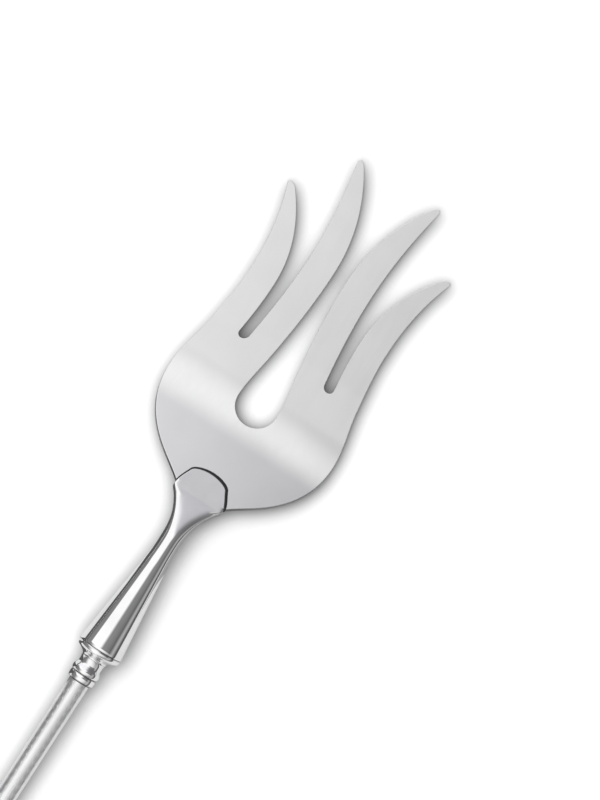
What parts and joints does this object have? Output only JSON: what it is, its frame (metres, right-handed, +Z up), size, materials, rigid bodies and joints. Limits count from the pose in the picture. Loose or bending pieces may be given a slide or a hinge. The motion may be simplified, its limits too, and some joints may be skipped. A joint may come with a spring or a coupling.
{
  "type": "cake fork",
  "caption": "Cake serving fork: flared tines on a bent plate, held in the jaw of a tapered neck sleeve, with a turned collar and a slim hollow handle.",
  "frame": {"origin": "on the table, under the middle of the fork's length and width, as it lies face up", "axes": "+Y from the butt of the handle to the tips of the tines, +X to the right, +Z up from the table"},
  "size_m": [0.0508, 0.2551, 0.0158],
  "materials": {
    "polished_stainless": "stamped stainless steel, finely polished",
    "bright_plate": "drawn and turned brass, bright silver plated",
    "handle_plate": "die-stamped shell, bright silver plated",
    "drawn_steel": "plain drawn steel rod",
    "cement": "cast handle cement"
  },
  "bodies": {
    "root": {"fork_head": "polished_stainless", "neck_sleeve": "bright_plate", "shoulder_ring": "bright_plate", "turned_collar": "bright_plate", "tang_rod": "drawn_steel", "handle_front_shell": "handle_plate", "handle_back_shell": "handle_plate", "handle_filler": "cement"}
  },
  "joints": []
}
